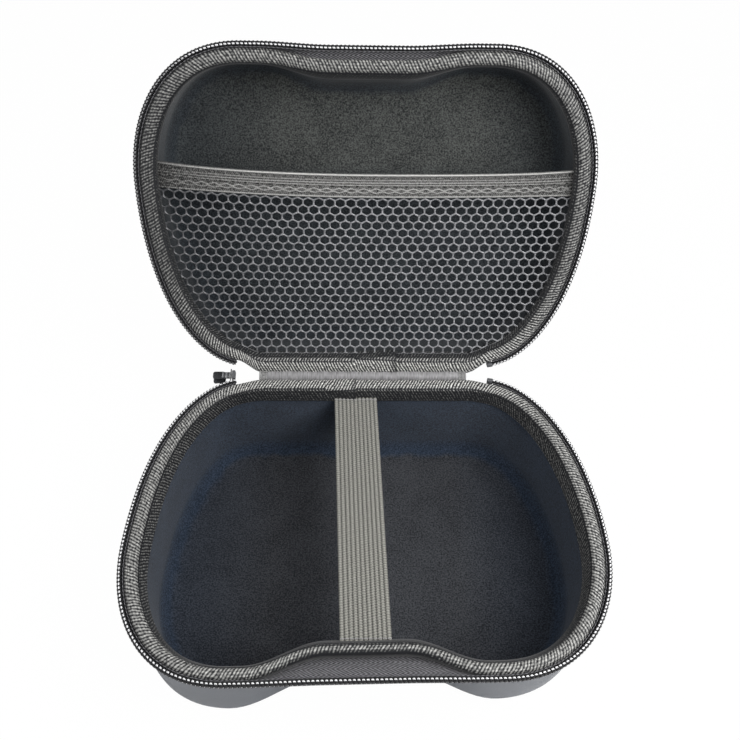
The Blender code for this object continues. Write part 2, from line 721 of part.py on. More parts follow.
def build():
    clear_scene()
    finishes = {
        "skin": material("moulded_skin", (0.045, 0.052, 0.062), 0.62),
        "fleece": material("fleece_lining", (0.030, 0.033, 0.036), 0.95),
        "binding": material("binding_tape", (0.085, 0.083, 0.078), 0.85),
        "zip_tape": material("zip_tape", (0.070, 0.070, 0.070), 0.85),
        "coil": material("coil_nylon", (0.060, 0.060, 0.062), 0.35),
        "stop": material("stop_nylon", (0.050, 0.050, 0.052), 0.45),
        "satin": material("satin_tape", (0.250, 0.245, 0.255), 0.55),
        "net": material("net_thread", (0.180, 0.180, 0.185), 0.45),
        "elastic": material("elastic_tape", (0.095, 0.095, 0.095), 0.80),
        "strap": material("strap_elastic", (0.125, 0.123, 0.112), 0.80),
        "metal": material("slider_metal", (0.060, 0.060, 0.062), 0.38, 0.85),
    }
    base = Half("base", -1, BASE_DEPTH, BASE_WALL, BASE_FLOOR, BASE_CORNER_RADIUS,
                BASE_CAVITY_RADIUS, (BASE_BAY_AT_ZIP, BASE_BAY_AT_RIM, BASE_BAY_AT_FLOOR),
                BASE_REACH)
    lid = Half("lid", 1, LID_DEPTH, LID_WALL, LID_FLOOR, LID_CORNER_RADIUS,
               LID_CAVITY_RADIUS, (LID_BAY_AT_ZIP, LID_BAY_AT_RIM, LID_BAY_AT_FLOOR),
               LID_REACH)
    lid_pivot = add_pivot("lid_pivot", HINGE, -LID_OPEN)

    base.build(finishes)
    add_object("holding_strap", holding_strap(base), finishes["strap"])
    add_object("hinge_tape", hinge_tape(base, lid), finishes["satin"])

    lid.build(finishes, lid_pivot)
    add_object("pocket_elastic", pocket_elastic(lid), finishes["elastic"], lid_pivot)
    net = add_object("pocket_net", pocket_net(lid), finishes["net"], lid_pivot)
    thicken = net.modifiers.new("thread", "SOLIDIFY")
    thicken.thickness = NET_THICKNESS
    thicken.offset = 0.0
    thicken.use_even_offset = False

    slider_pivot = add_pivot("slider_pivot", (0, 0, 0))
    slider_pivot.matrix_world = slider_frame()
    zip_slider(finishes["metal"], slider_pivot)
    bail = add_object("slider_bail", bail_arch(), finishes["metal"])
    bail.parent = slider_pivot
    pull_pivot = add_pivot("pull_pivot", (0, 0, pull_height()))
    pull_pivot.parent = slider_pivot
    zip_pull(finishes["metal"], pull_pivot)

    inner_top, outer_low, _ = slider_levels()
    coil_end = 0.5 * SLIDER_LENGTH + CLOSED_COIL_OVERHANG
    coil = run(closed_end_sections(post_end() + CLEARANCE, coil_end, 0.5 * CLOSED_COIL_WIDTH,
                                   inner_top + CLEARANCE, outer_low - CLEARANCE))
    closed_end = add_object("zip_closed_end", coil, finishes["coil"])
    middle = 0.5 * (inner_top + outer_low)
    tape = add_object("closed_end_tape",
                      run(closed_end_sections(0.5 * SLIDER_LENGTH + CLEARANCE, coil_end,
                                              0.5 * CLOSED_TAPE_WIDTH, middle, middle + TAPE)),
                      finishes["coil"])
    join(closed_end, [tape])
    closed_end.parent = slider_pivot
    tape.parent = slider_pivot
    stop_start = coil_end + CLEARANCE
    stop = run(closed_end_sections(stop_start, stop_start + BOTTOM_STOP_LENGTH,
                                   0.5 * BOTTOM_STOP_WIDTH, inner_top, outer_low))
    bottom_stop = add_object("zip_bottom_stop", stop, finishes["stop"])
    bottom_stop.parent = slider_pivot


build()
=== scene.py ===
# Controller carrying case, open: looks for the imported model
import json
from bisect import bisect_right
from functools import partial
from math import atan2, cos, pi, radians, sin, tan

import bpy
from mathutils import Matrix, Vector
from mathutils.geometry import interpolate_bezier


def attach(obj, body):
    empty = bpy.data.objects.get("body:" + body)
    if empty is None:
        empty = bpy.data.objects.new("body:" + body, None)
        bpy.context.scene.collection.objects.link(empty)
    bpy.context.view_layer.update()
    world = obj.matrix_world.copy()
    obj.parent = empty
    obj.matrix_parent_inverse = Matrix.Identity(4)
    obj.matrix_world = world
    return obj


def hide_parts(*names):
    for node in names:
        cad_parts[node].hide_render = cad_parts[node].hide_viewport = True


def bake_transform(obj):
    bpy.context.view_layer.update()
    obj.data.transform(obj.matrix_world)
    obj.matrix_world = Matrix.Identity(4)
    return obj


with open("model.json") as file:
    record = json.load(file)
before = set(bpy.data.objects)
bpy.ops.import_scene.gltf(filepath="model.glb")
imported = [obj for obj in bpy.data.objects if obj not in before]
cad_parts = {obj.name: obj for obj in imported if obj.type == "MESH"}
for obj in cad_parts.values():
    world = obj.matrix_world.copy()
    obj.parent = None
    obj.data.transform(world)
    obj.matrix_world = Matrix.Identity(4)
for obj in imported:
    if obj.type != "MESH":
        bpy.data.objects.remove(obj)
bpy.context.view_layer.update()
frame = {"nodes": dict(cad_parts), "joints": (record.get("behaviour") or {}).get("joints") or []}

mm = 0.001  # every size below is in millimetres


# Camera, lamps, floor

cameraFacts = {"elevation": 50.4028, "azimuth": -2.5442, "roll": 2.0743, "distance": 255.31,
               "target": (-0.5912, 6.15, 128.1589), "lens": 39.139, "sensor": 36.0}


def setCamera():
    up, side, roll = (radians(cameraFacts[k]) for k in ("elevation", "azimuth", "roll"))
    back = Vector((sin(side) * cos(up), -cos(side) * cos(up), sin(up)))
    eye = (Vector(cameraFacts["target"]) + back * cameraFacts["distance"]) * mm
    bpy.ops.object.camera_add()
    camera = bpy.context.object
    camera.data.lens = cameraFacts["lens"]
    camera.data.sensor_width = cameraFacts["sensor"]
    camera.data.clip_start = 0.01
    camera.matrix_world = (Matrix.Translation(eye) @ back.to_track_quat("Z", "Y").to_matrix().to_4x4()
                           @ Matrix.Rotation(roll, 4, "Z"))
    bpy.context.scene.camera = camera


setCamera()
bpy.context.scene.view_settings.view_transform = "Standard"


def linear(hexText):
    # sRGB hex to the linear colour that the shader takes
    parts = [int(hexText[i:i + 2], 16) / 255 for i in (1, 3, 5)]
    return (*[p / 12.92 if p <= 0.04045 else ((p + 0.055) / 1.055) ** 2.4 for p in parts], 1.0)


def addNode(tree, kind, sockets=(), tones=(), **settings):
    # sockets by name or in order, a node linked by its first output; tones are a ramp's places and colours
    node = tree.nodes.new("ShaderNode" + kind)
    for key, value in settings.items():
        setattr(node, key, value)
    for key, value in sockets.items() if isinstance(sockets, dict) else enumerate(sockets):
        if isinstance(value, bpy.types.Node):
            value = value.outputs[0]
        if isinstance(value, bpy.types.NodeSocket):
            tree.links.new(value, node.inputs[key])
        else:
            node.inputs[key].default_value = value
    for k, (place, colour) in enumerate(tones):
        node.color_ramp.elements[k].position = place
        node.color_ramp.elements[k].color = linear(colour)
    return node


def startMaterial(name, roughness, **sockets):
    material = bpy.data.materials.new(name)
    material.use_nodes = True
    shader = material.node_tree.nodes["Principled BSDF"]
    shader.inputs["Roughness"].default_value = roughness
    for key, value in sockets.items():
        shader.inputs[key.replace("_", " ")].default_value = value
    return material, partial(addNode, material.node_tree), shader


# lamps: place and size in metres, and watts, as key, front, side and back
studio = {"worldLight": 0.20, "paperGlow": 0.985,
          "lamps": (((0.25, -0.12, 0.40), 0.30, 2.5), ((0.06, -0.95, 0.38), 0.45, 0.6),
                    ((-0.45, -0.02, 0.42), 0.40, 1.8), ((0.60, 0.35, 0.80), 0.60, 1.3))}


def setStudio():
    world = bpy.data.worlds.new("studioWorld")
    world.use_nodes = True
    bpy.context.scene.world = world
    tree = world.node_tree
    tree.nodes.clear()
    add = partial(addNode, tree)
    path = add("LightPath")
    seen = add("Math", (path.outputs["Is Camera Ray"], path.outputs["Is Transmission Ray"]),
               operation="MAXIMUM")
    soft = add("Background", {"Color": linear("#f4f6fa"), "Strength": studio["worldLight"]})
    white = add("Background", {"Color": (1, 1, 1, 1), "Strength": 1.0})
    add("OutputWorld", {"Surface": add("MixShader", (seen, soft, white))})
    for place, size, watts in studio["lamps"]:
        bpy.ops.object.light_add(type="AREA", location=place)
        lamp = bpy.context.object
        lamp.data.size = size
        lamp.data.energy = watts
        lamp.rotation_euler = (Vector((0, 0.03, 0.08)) - Vector(place)).to_track_quat("-Z", "Y").to_euler()


def layFloor():
    bpy.ops.mesh.primitive_plane_add(size=6.0, location=(0, 0, -0.0004))
    floor = bpy.context.object
    floor.name = "studioFloor"
    paper, add, shader = startMaterial("palePaper", 0.9, Base_Color=linear("#f2f2f2"))
    path = add("LightPath")
    share = add("Math", (path.outputs["Is Camera Ray"], studio["paperGlow"]), operation="MULTIPLY")
    glow = add("Emission", {"Color": (1, 1, 1, 1), "Strength": 1.0})
    mixed = add("MixShader", (share, shader, glow))
    tree = paper.node_tree
    tree.links.new(mixed.outputs[0], tree.nodes["Material Output"].inputs["Surface"])
    floor.data.materials.append(paper)


setStudio()
layFloor()
print("camera, lamps and floor set")


# Plan of the case: the zip line seen from above, as two Bezier sides

plan = {"halfWidth": 92.4, "front": 66.4, "back": 66.8, "widestAt": -14.0, "frontStraight": 48.0,
        "backStraight": 52.0, "frontCornerPull": 30.5, "sidePullFront": 26.0, "sidePullBack": 54.0,
        "backCornerPull": 18.5, "bayFlat": 14.0, "bayReach": 42.5, "reachFlat": 45.0, "reachEnd": 56.0,
        "zipEnd": 57.0, "mateHeight": 50.0, "hingeBack": 2.35, "openAngle": 115.0}


def drawPlan():
    p = plan
    side = Vector((p["halfWidth"], p["widestAt"], 0))
    back = Vector((p["backStraight"], p["back"], 0))
    front = Vector((p["frontStraight"], -p["front"], 0))
    rear = interpolate_bezier(back, back + Vector((p["backCornerPull"], 0, 0)),
                              side + Vector((0, p["sidePullBack"], 0)), side, 90)
    fore = interpolate_bezier(side, side - Vector((0, p["sidePullFront"], 0)),
                              front + Vector((p["frontCornerPull"], 0, 0)), front, 90)
    right = [Vector((0, p["back"], 0)), *rear, *fore[1:], Vector((0, -p["front"], 0))]
    left = [Vector((-q.x, q.y, 0)) for q in right]
    return left + right[-2::-1]


def runningLengths(points):
    lengths = [0.0]
    for a, b in zip(points, points[1:]):
        lengths.append(lengths[-1] + (b - a).length)
    return lengths


planPoints = drawPlan()
planLengths = runningLengths(planPoints)
planTotal = planLengths[-1]


def planAt(distance):
    distance %= planTotal
    k = min(bisect_right(planLengths, distance), len(planLengths) - 1)
    share = (distance - planLengths[k - 1]) / (planLengths[k] - planLengths[k - 1])
    return planPoints[k - 1].lerp(planPoints[k], share)


def stationAt(distance):
    # a place on the zip line and its outward direction, from the back's middle over the left side
    along = (planAt(distance + 1.0) - planAt(distance - 1.0)).normalized()
    return planAt(distance), Vector((along.y, -along.x, 0))


def stations(start, end, count):
    return [stationAt(between(start, end, i / (count - 1))) for i in range(count)]


def stationsAround(count):
    return [stationAt(planTotal * i / count) for i in range(count)]


def clamp(value, low=0.0, high=1.0):
    return max(low, min(high, value))


def between(a, b, share):
    return a + (b - a) * share


def fade(distance, full, end):
    return 0.5 * (1.0 + cos(pi * clamp((abs(distance) - full) / (end - full))))


halves = {
    "base": {"side": -1, "depth": 50.0, "wall": 4.4, "floor": 5.0, "corner": 12.0, "cavity": 9.5,
             "bayZip": 0.4, "bayRim": 7.6, "bayFloor": 11.4, "bayPower": 0.8, "bayWiden": 8.0, "reach": 1.7,
             "outerDraft": 0.8, "lean": (2.1, -1.8), "shear": 1.0, "skew": (0.8, 0.012), "lobeRise": (1.2, 3.0)},
    "lid": {"side": 1, "depth": 29.0, "wall": 4.0, "floor": 3.0, "corner": 13.0, "cavity": 9.5,
            "bayZip": 1.1, "bayRim": 3.2, "bayFloor": 7.8, "bayPower": 0.55, "bayWiden": 0.0, "reach": 3.7,
            "outerDraft": 3.0, "lean": (0.0, 0.0), "shear": 0.0, "skew": (0.0, 0.0), "lobeRise": (0.0, 0.0)},
}
rim = {"inset": 3.4, "wall": 3.0, "drop": 1.3, "slopeFoot": 8.5, "draft": 3.0, "lining": 0.8,
       "gap": 0.3, "mateGap": 0.2, "legFoot": 6.5}


def heightAt(half, depth):
    return plan["mateHeight"] + halves[half]["side"] * depth


def sunkShare(half, depth):
    return clamp((depth - rim["drop"]) / (halves[half]["depth"] - rim["drop"]))


def bayAt(half, depth):
    facts = halves[half]
    return between(facts["bayRim"], facts["bayFloor"], sunkShare(half, depth) ** facts["bayPower"])


def spotOn(half, station, inset, depth, bay=None, reach=None):
    # a point of one closed half: inset from the zip line, depth from the mating plane
    point, outward = station
    facts, sunk = halves[half], sunkShare(half, depth)
    spot = point - outward * inset
    if point.y < 0:
        spot.y += (bayAt(half, depth) if bay is None else bay) * fade(
            spot.x, plan["bayFlat"], plan["bayReach"] + facts["bayWiden"] * sunk)
    else:
        pull = facts["reach"] if reach is None else reach
        spot.y += pull * fade(spot.x, plan["reachFlat"], plan["reachEnd"])
    # the real base isn't quite even: its front is skew, and its two lobes differ
    ahead, right = max(0.0, -point.y) / plan["front"], 0.5 + 0.5 * clamp(spot.x / 30, -1.0)
    spot.y += ahead * (facts["skew"][0] + facts["skew"][1] * spot.x + sunk * between(*facts["lobeRise"], right))
    spot.x -= ahead * facts["shear"] + sunk * between(*facts["lean"], right)
    spot.z = heightAt(half, depth)
    return spot


def zipSpot(half, station, inset, depth):
    return spotOn(half, station, inset, depth, halves[half]["bayZip"], 0.0)


def slopeInset(half, depth):
    # inner face of the shell within the slope under the rim
    share = (depth - rim["drop"]) / (rim["slopeFoot"] - rim["drop"])
    return rim["inset"] + between(rim["wall"], halves[half]["wall"], share)


def bowlSide(inset, top, floor, radius, steps, draft=rim["draft"]):
    turn = floor - radius
    foot = inset + (turn - top) * tan(radians(draft))
    rows = [(between(inset, foot, i / 4), between(top, turn, i / 4)) for i in range(4)]
    for i in range(steps + 1):
        angle = 0.5 * pi * i / steps
        rows.append((foot + radius * (1 - cos(angle)), turn + radius * sin(angle)))
    return rows


def innerFace(half, offset, top, steps=8):
    facts = halves[half]
    side = bowlSide(rim["inset"] + facts["wall"] + offset, rim["slopeFoot"],
                    facts["depth"] - facts["floor"] - offset, facts["cavity"] - offset, steps)
    return [(slopeInset(half, top) + offset, top), *side]


hingePoint = Vector((0, plan["back"] + plan["hingeBack"], plan["mateHeight"]))
openTurn = (Matrix.Translation(hingePoint) @ Matrix.Rotation(-radians(plan["openAngle"]), 4, "X")
            @ Matrix.Translation(-hingePoint))


def opened(point):
    return openTurn @ point


# Mesh helpers

def only(*objects):
    bpy.ops.object.select_all(action="DESELECT")
    for each in objects:
        each.select_set(True)
    bpy.context.view_layer.objects.active = objects[0]


def editOf(piece, mode="VERT"):
    only(piece)
    bpy.ops.object.mode_set(mode="EDIT")
    bpy.ops.mesh.select_mode(type=mode)
    bpy.ops.mesh.select_all(action="DESELECT")


def onAll(operator, **settings):
    bpy.ops.mesh.select_all(action="SELECT")
    operator(**settings)


def joinAll(pieces, name):
    only(*pieces)
    bpy.ops.object.join()
    joined = bpy.context.object
    joined.name = joined.data.name = name
    return joined


def repeat(piece, name, step, **settings):
    array = piece.modifiers.new(name, "ARRAY")
    array.use_relative_offset = False
    array.use_constant_offset = True
    array.constant_offset_displace = step
    for key, value in settings.items():
        setattr(array, key, value)


def applyAll(piece):
    only(piece)
    for modifier in list(piece.modifiers):
        bpy.ops.object.modifier_apply(modifier=modifier.name)


def cleanUp(piece, merge=0.00002, angle=38, caps=False):
    # doubles merged, open ends closed, normals outward, smooth up to the angle
    editOf(piece)
    onAll(bpy.ops.mesh.remove_doubles, threshold=merge)
    if caps:
        onAll(bpy.ops.mesh.fill_holes, sides=0)
    onAll(bpy.ops.mesh.normals_make_consistent, inside=False)
    bpy.ops.object.mode_set(mode="OBJECT")
    only(piece)
    bpy.ops.object.shade_smooth_by_angle(angle=radians(angle))


def layStrip(name, rows, loopAlong=False, loopAcross=False, half=None, reference=0, tag=None, **finish):
    # a grid laid on rows of points, with a UV map in millimetres along and across
    # tag is an attribute's name and its lines of values across the strip, repeated along it
    if loopAlong:
        rows = rows + [rows[0]]
    if loopAcross:
        rows = [row + [row[0]] for row in rows]
    along, across = len(rows), len(rows[0])
    bpy.ops.object.select_all(action="DESELECT")
    bpy.ops.mesh.primitive_grid_add(x_subdivisions=along - 1, y_subdivisions=across - 1, size=1.0)
    piece = bpy.context.object
    piece.name = piece.data.name = name
    alongLengths = runningLengths([row[reference] for row in rows])
    acrossLengths = [runningLengths(row) for row in rows]
    mesh = piece.data
    spots = {}
    for vertex in mesh.vertices:
        i = round((vertex.co.x + 0.5) * (along - 1))
        j = round((vertex.co.y + 0.5) * (across - 1))
        spots[vertex.index] = (i, j)
        place = rows[i][j]
        vertex.co = (opened(place) if half == "lid" else place) * mm
    uv = mesh.uv_layers.active or mesh.uv_layers.new(name="clothMap")
    for loop in mesh.loops:
        i, j = spots[loop.vertex_index]
        uv.data[loop.index].uv = (alongLengths[i], acrossLengths[i][j])
    if tag:
        values = mesh.attributes.new(tag[0], "FLOAT", "POINT")
        for index, (i, j) in spots.items():
            line = tag[1][i % len(tag[1])]
            values.data[index].value = line[j % len(line)]
    cleanUp(piece, **finish)
    return piece


def finishPiece(piece, material, body, slot, *nodes):
    piece.data.materials.clear()
    piece.data.materials.append(material)
    for polygon in piece.data.polygons:
        polygon.material_index = 0
    if body:
        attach(piece, body)
    if nodes:
        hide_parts(*nodes)


# Materials

def setSurface(add, shader, colour, height, strength, relief):
    # a pattern's colour, and its relief in millimetres
    bump = add("Bump", {"Height": height, "Strength": strength, "Distance": relief * mm})
    links = shader.id_data.links
    links.new(colour, shader.inputs["Base Color"])
    links.new(bump.outputs["Normal"], shader.inputs["Normal"])


def awayFrom(add, place, line):
    # distance to either side of a line
    return add("Math", (add("Math", (place, line), operation="SUBTRACT"),), operation="ABSOLUTE")


def layWave(add, place, spacing, height, level, shift=0.0):
    # a sine wave along a place on the cloth, its spacing in millimetres
    turns = add("Math", (place, 2 * pi / spacing, shift), operation="MULTIPLY_ADD")
    wave = add("Math", (turns,), operation="SINE")
    return add("Math", (wave, height, level), operation="MULTIPLY_ADD")


def makeTwill(name, facts):
    # herringbone tape: fine ribs that lean one way on each side of a middle line
    material, add, shader = startMaterial(name, facts["roughness"], Sheen_Weight=facts["sheen"],
                                          Sheen_Roughness=0.4, Specular_IOR_Level=0.3)
    cloth = add("UVMap")
    apart = add("SeparateXYZ", (cloth,))
    fromLine = add("Math", (apart.outputs["Y"], facts["middle"]), operation="SUBTRACT")
    folded = add("Math", (fromLine, facts["chevron"]), operation="PINGPONG")
    wobble = add("TexNoise", {"Vector": cloth, "Scale": 0.12})
    drift = add("Math", (wobble, facts["wobble"], apart), operation="MULTIPLY_ADD")
    run = add("Math", (folded, facts["lean"], drift), operation="MULTIPLY_ADD")
    rib = layWave(add, run, facts["pitch"], 0.5, 0.5)
    if "hingeHighlightY" in facts:
        # painted highlight: the ribs are drawn paler and with full contrast along the hinge, and duller round the
        # corners
        where = add("SeparateXYZ", (add("TexCoord").outputs["Object"],))
        away = awayFrom(add, where.outputs["Y"], facts["hingeHighlightY"] * mm)
        clear = add("MapRange", (away, 6 * mm, 20 * mm, 1.0, 0.5))
        rib = add("Mix", {0: clear, 2: 0.4, 3: rib})
    # floats of the weft break each rib, wear makes it uneven, and it's sunk at the seam
    weft = layWave(add, apart.outputs["Y"], facts["weft"], 0.16, 0.84)
    wearAndShade = add("TexNoise", {"Vector": cloth, "Scale": 0.9, "Detail": 3.0})
    wear = add("MapRange", (wearAndShade, 0.3, 0.7, 1 - facts["unevenness"]))
    seam = awayFrom(add, apart.outputs["Y"], facts["middle"])
    shares = [weft, wear, add("MapRange", (seam, 0.15, 0.9, facts["seam"]))]
    if "legShade" in facts:
        # painted light: paler on the round crown, and painted shade where the tape lies flat on its legs
        crown = add("Attribute", attribute_name="crownLitShare")
        shares.append(add("MapRange", {0: crown.outputs["Fac"], 3: facts["legShade"]}))
    for share in shares:
        rib = add("Math", (rib, share), operation="MULTIPLY")
    tone = add("ValToRGB", (rib,), ((0.1, facts["gapColour"]), (0.85, facts["yarnColour"])))
    setSurface(add, shader, tone.outputs[0], rib, facts["bump"], facts["relief"])
    return material


# polyester twill binding, woven: pale yarns over dark gaps, drawn 1.3 mm apart so that they show
bindingTwill = makeTwill("polyesterTwillWoven", {
    "roughness": 0.62, "sheen": 0.15, "middle": 9.7, "chevron": 9.7, "lean": 0.5, "wobble": 2.2,
    "pitch": 1.3, "weft": 1.1, "unevenness": 0.75, "bump": 1.0, "relief": 0.3, "seam": 0.4,
    "legShade": 0.2, "hingeHighlightY": 69.15, "gapColour": "#16171a", "yarnColour": "#f2f1ec"})
# zip tape, woven herringbone: chevrons whose yarns run nearly along the tape
zipHerringbone = makeTwill("polyesterZipTapeWoven", {
    "roughness": 0.68, "sheen": 0.1, "middle": 4.6, "chevron": 2.6, "lean": 2.2, "wobble": 0.5,
    "pitch": 1.7, "weft": 0.6, "unevenness": 0.4, "bump": 0.5, "relief": 0.16, "seam": 0.8,
    "gapColour": "#262628", "yarnColour": "#8d8c90"})


def makeFleece(name, facts):
    # short pile, bluer and darker on the walls, lighter with light tips on the floor: partly pile pressed flat,
    # partly painted shade on the walls
    material, add, shader = startMaterial(name, 0.95, Sheen_Weight=0.12, Sheen_Roughness=0.6,
                                           Specular_IOR_Level=0.12)
    place = add("TexCoord").outputs["Object"]
    grain = add("TexNoise", {"Vector": place, "Scale": 1 / (0.62 * mm)})
    nap = add("TexNoise", {"Vector": place, "Scale": 1 / (14 * mm), "Distortion": 0.4})
    brushed = add("MapRange", (nap, 0.35, 0.65, -0.03, 0.03))
    pile = add("Math", (grain, brushed), operation="ADD")
    onFloor = add("Attribute", attribute_name="floorShare")
    edge = add("Math", (brushed, 6.0, onFloor.outputs["Fac"]), operation="MULTIPLY_ADD")
    pileAndLight = add("MapRange", (edge, 0.25, 0.75))
    # darker towards the two ends of the half, partly pile lying down there and partly painted shade, the lid's
    # shifted so its left end darkens sooner; painted shade behind the net
    apart = add("SeparateXYZ", (place,))
    sideways = awayFrom(add, apart, facts["endShadeCentre"] * mm)
    endShade = add("MapRange", (sideways, 40 * mm, 78 * mm, 1.0, facts["endShare"]))
    paintedLightShare = add("MapRange", (apart.outputs["Z"], *(z * mm for z in facts["netShadeUnder"]), 0.15))
    for share in (endShade, paintedLightShare):
        pileAndLight = add("Math", (pileAndLight, share), operation="MULTIPLY")
    wall, floor = (add("ValToRGB", (pile,), zip((0.36, 0.66), facts[part]))
                   for part in ("wallColours", "floorColours"))
    mixed = add("Mix", {0: pileAndLight, 6: wall, 7: floor}, data_type="RGBA")
    setSurface(add, shader, mixed.outputs[2], pile, 0.6, 0.3)
    return material


# polyester fleece, brushed: the two halves are lit and shaded copies of one fleece, whose wall and floor colours
# carry painted light and shade
fleecePile = {
    "base": makeFleece("polyesterFleeceBase", {"endShare": 0.5, "endShadeCentre": 0.0, "netShadeUnder": (-20, -10),
                                               "wallColours": ("#161e29", "#313c4c"),
                                               "floorColours": ("#191a1e", "#3e4044")}),
    "lid": makeFleece("polyesterFleeceLid", {"endShare": 0.35, "endShadeCentre": 6.0, "netShadeUnder": (104, 118),
                                             "wallColours": ("#1a1d21", "#33393e"),
                                             "floorColours": ("#202222", "#505250")})}


def makeNylon():
    # nylon monofilament, drawn: satin gloss, with painted highlights: a pale glint on each turn's head, dark on its
    # flanks
    material, add, shader = startMaterial("nylonMonofilamentDrawn", 0.38, IOR=1.53, Specular_IOR_Level=0.3)
    head = add("Attribute", attribute_name="headGlint")
    tone = add("ValToRGB", (head.outputs["Fac"],), ((0.35, "#151517"), (0.9, "#f0f0f1")))
    shader.id_data.links.new(tone.outputs[0], shader.inputs["Base Color"])
    return material


coilNylon = makeNylon()


def makeRibbed(name, facts):
    # knitted elastic: raised cords run lengthwise, each a chain of small loops, dark between them, with painted
    # highlight on the ridges and painted shade in the grooves
    material, add, shader = startMaterial(name, 0.8, Sheen_Weight=0.15, Sheen_Roughness=0.45,
                                           Specular_IOR_Level=0.25)
    cloth = add("UVMap")
    apart = add("SeparateXYZ", (cloth,))
    column = add("Math", (apart.outputs["Y"], facts["cord"]), operation="DIVIDE")
    number = add("Math", (column,), operation="FLOOR")
    shift = add("Math", (number, 2.4), operation="MULTIPLY")
    ridge = add("Attribute", attribute_name="ridgeLitShare")
    loops = layWave(add, apart, facts["loop"], facts["loopShare"], ridge.outputs["Fac"], shift)
    mottle = add("TexNoise", {"Vector": cloth, "Scale": 1.3, "Detail": 3.0})
    uneven = add("MapRange", (mottle, 0.3, 0.7, -0.16, 0.16))
    shown = add("Math", (loops, uneven), operation="ADD")
    colour = add("ValToRGB", (shown,), ((0, facts["gapColour"]), (1, facts["yarnColour"]))).outputs[0]
    if "stitchEvery" in facts:
        # needle holes of the seam: a small dark dash every few millimetres on one line
        cell = add("Math", (apart, 0.5 * facts["stitchEvery"]), operation="PINGPONG")
        near = add("Math", (cell, 0.5), operation="LESS_THAN")
        away = awayFrom(add, apart.outputs["Y"], facts["stitchLine"])
        onLine = add("Math", (away, 0.32), operation="LESS_THAN")
        hole = add("Math", (near, onLine), operation="MULTIPLY")
        colour = add("Mix", {0: hole, 6: colour, 7: linear("#141414")}, data_type="RGBA").outputs[2]
    setSurface(add, shader, colour, shown, 0.5, 0.15)
    return material


# knitted elastic webbing of the strap: warm grey, loops 1 mm apart
strapElastic = makeRibbed("elasticWebbingKnitted", {"loop": 1.0, "loopShare": 0.2, "cord": 1.69,
                                                    "gapColour": "#363633", "yarnColour": "#9a9992"})
# braided elastic of the pocket's mouth: cooler grey, with the needle holes of its seam
pocketElastic = makeRibbed("elasticTapeBraided", {"loop": 0.8, "loopShare": 0.06, "cord": 0.6,
                                                  "gapColour": "#111111", "yarnColour": "#c9c8c5",
                                                  "stitchEvery": 5.0, "stitchLine": 5.6})


def makePlain(name, facts, **sockets):
    # one pattern on the cloth or the object sets the tone, and with it the relief
    material, add, shader = startMaterial(name, facts["roughness"], **sockets)
    if "cloth" in facts:
        place = add("Mapping", {"Vector": add("UVMap"), **facts["cloth"]}).outputs[0]
    else:
        place = add("TexCoord").outputs["Object"]
    kind, sizes = facts["pattern"]
    height = add(kind, {"Vector": place, **sizes}).outputs["Fac"]
    tone = add("ValToRGB", (height,), facts["tones"]).outputs[0]
    if "weave" in facts:
        height = add("TexVoronoi", {"Vector": place, "Scale": 1 / (facts["weave"] * mm)})
    if "slack" in facts:
        # painted shade: darker towards the left
        colour, share, start, end = facts["slack"]
        apart = add("SeparateXYZ", (place,))
        unshaded = add("MapRange", (apart, start * mm, end * mm, share))
        tone = add("Mix", {0: unshaded, 6: linear(colour), 7: tone}, data_type="RGBA").outputs[2]
    setSurface(add, shader, tone, height, *facts["relief"])
    return material


# coated polyester over EVA foam, heat moulded: even slate grey with a faint satin gloss
mouldedSkin = makePlain("coatedPolyesterMoulded", {
    "roughness": 0.48, "pattern": ("TexNoise", {"Scale": 1 / (22 * mm), "Detail": 3.0}), "weave": 0.75,
    "tones": ((0.35, "#484d55"), (0.65, "#4e535b")), "relief": (0.3, 0.08)},
    Specular_IOR_Level=0.4, Sheen_Weight=0.08)
# filler cord inside the coil, spun polyester, twisted: dull and dark
coreCord = makePlain("spunPolyesterCord", {
    "roughness": 0.85, "cloth": {"Rotation": (0, 0, radians(35))},
    "pattern": ("TexWave", {"Scale": 0.45, "Distortion": 1.5}),
    "tones": ((0, "#161617"), (1, "#2e2e30")), "relief": (0.5, 0.1)}, Specular_IOR_Level=0.2)
# closed length of coil, nylon, still meshed: dark grey with a tooth pattern
meshedNylon = makePlain("nylonCoilMeshed", {
    "roughness": 0.3, "pattern": ("TexWave", {"Scale": 1 / (5.2 * mm), "Distortion": 0.4}),
    "tones": ((0, "#2a2a2c"), (1, "#77787a")), "relief": (0.7, 0.3)}, IOR=1.53)
# polyester satin ribbon, woven: long floats across the ribbon give a soft streaked gloss
satinRibbon = makePlain("polyesterSatinWoven", {
    "roughness": 0.42, "cloth": {"Scale": (2.2, 0.25, 1.0)},
    "pattern": ("TexNoise", {"Scale": 1.0, "Detail": 4.0}),
    "tones": ((0.3, "#5f5e5f"), (0.7, "#9c9b9c")), "relief": (0.25, 0.06)},
    Sheen_Weight=0.2, Specular_IOR_Level=0.5, Anisotropic=0.4)
# polyester sewing thread, twisted: pale, with a fine twist
sewingThread = makePlain("polyesterThreadTwisted", {
    "roughness": 0.55, "cloth": {"Rotation": (0, 0, radians(40))},
    "pattern": ("TexWave", {"Scale": 0.8, "Distortion": 1.0}),
    "tones": ((0, "#5d5d5e"), (1, "#b9b8b6")), "relief": (0.5, 0.05)}, Sheen_Weight=0.2)
# polyester net, warp knitted: smooth bright yarn with a little gloss, painted in shade towards the left
netYarn = makePlain("polyesterNetKnitted", {
    "roughness": 0.4, "pattern": ("TexNoise", {"Scale": 1 / (0.7 * mm), "Detail": 3.0}),
    "tones": ((0.3, "#4a4b4e"), (0.7, "#98989b")), "slack": ("#242528", 0.3, -75, -15),
    "relief": (0.4, 0.12)}, Specular_IOR_Level=0.5, Sheen_Weight=0.15)
